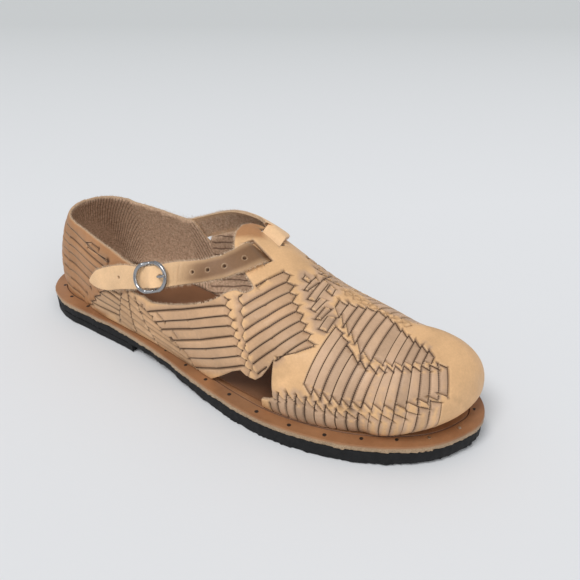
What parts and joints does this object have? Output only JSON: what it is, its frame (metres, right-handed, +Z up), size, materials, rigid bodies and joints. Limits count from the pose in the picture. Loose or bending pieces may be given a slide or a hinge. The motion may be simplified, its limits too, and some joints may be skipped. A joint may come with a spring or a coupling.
{
  "type": "huarache sandal",
  "caption": "Woven leather huarache sandal for the right foot, with an ankle strap and buckle, on a nailed leather and black rubber sole with a low heel.",
  "frame": {"origin": "centre of the shoe's box, on the floor", "axes": "+X to the toe, +Y to the inner side of the foot, +Z up"},
  "size_m": [0.2958, 0.1078, 0.0873],
  "materials": {
    "leather_tan": "vegetable-tanned leather, orange-brown, matt",
    "leather_strap": "vegetable-tanned leather, light tan, matt",
    "leather_sole": "stained sole leather, raw edge",
    "leather_insole": "smooth dark brown leather",
    "rubber_black": "black rubber, matt, cut edge",
    "metal": "bright nickel plate"
  },
  "bodies": {
    "root": {"upper": "leather_tan", "ankle_strap": "leather_strap", "buckle_frame": "metal", "buckle_prong": "metal", "insole": "leather_insole", "leather_sole": "leather_sole", "outsole": "rubber_black", "heel_lift": "rubber_black"}
  },
  "joints": []
}
